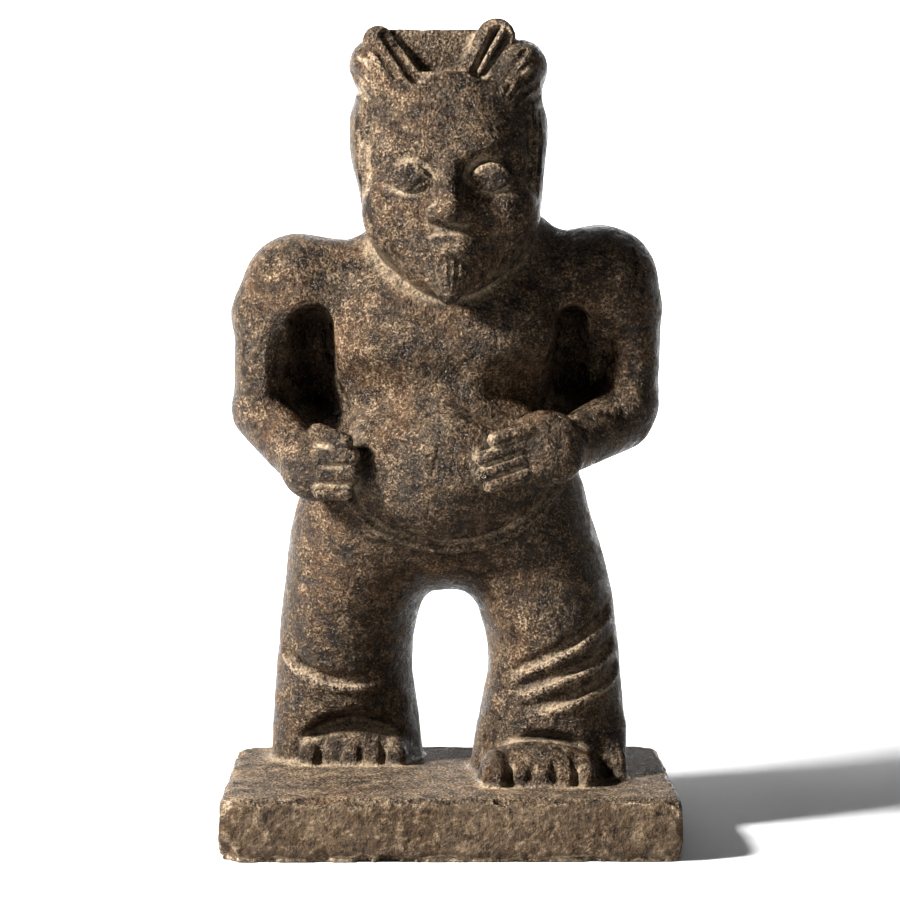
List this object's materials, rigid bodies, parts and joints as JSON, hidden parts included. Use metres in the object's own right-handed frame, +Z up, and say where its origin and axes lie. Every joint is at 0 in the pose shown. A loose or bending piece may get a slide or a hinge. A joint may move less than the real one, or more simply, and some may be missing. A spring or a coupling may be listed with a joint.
{
  "type": "stone male figure",
  "caption": "Carved stone man standing on a rectangular plinth, hands held to a round belly, in wide trousers, with a flat-topped headdress between two leaves.",
  "frame": {"origin": "middle of the plinth's underside", "axes": "+Z up, the figure looks along -Y, +X to the right of a viewer in front of it"},
  "size_m": [0.43, 0.2945, 0.7831],
  "materials": {
    "stone": "satin"
  },
  "bodies": {
    "root": {"stone_figure": "stone"}
  },
  "joints": []
}
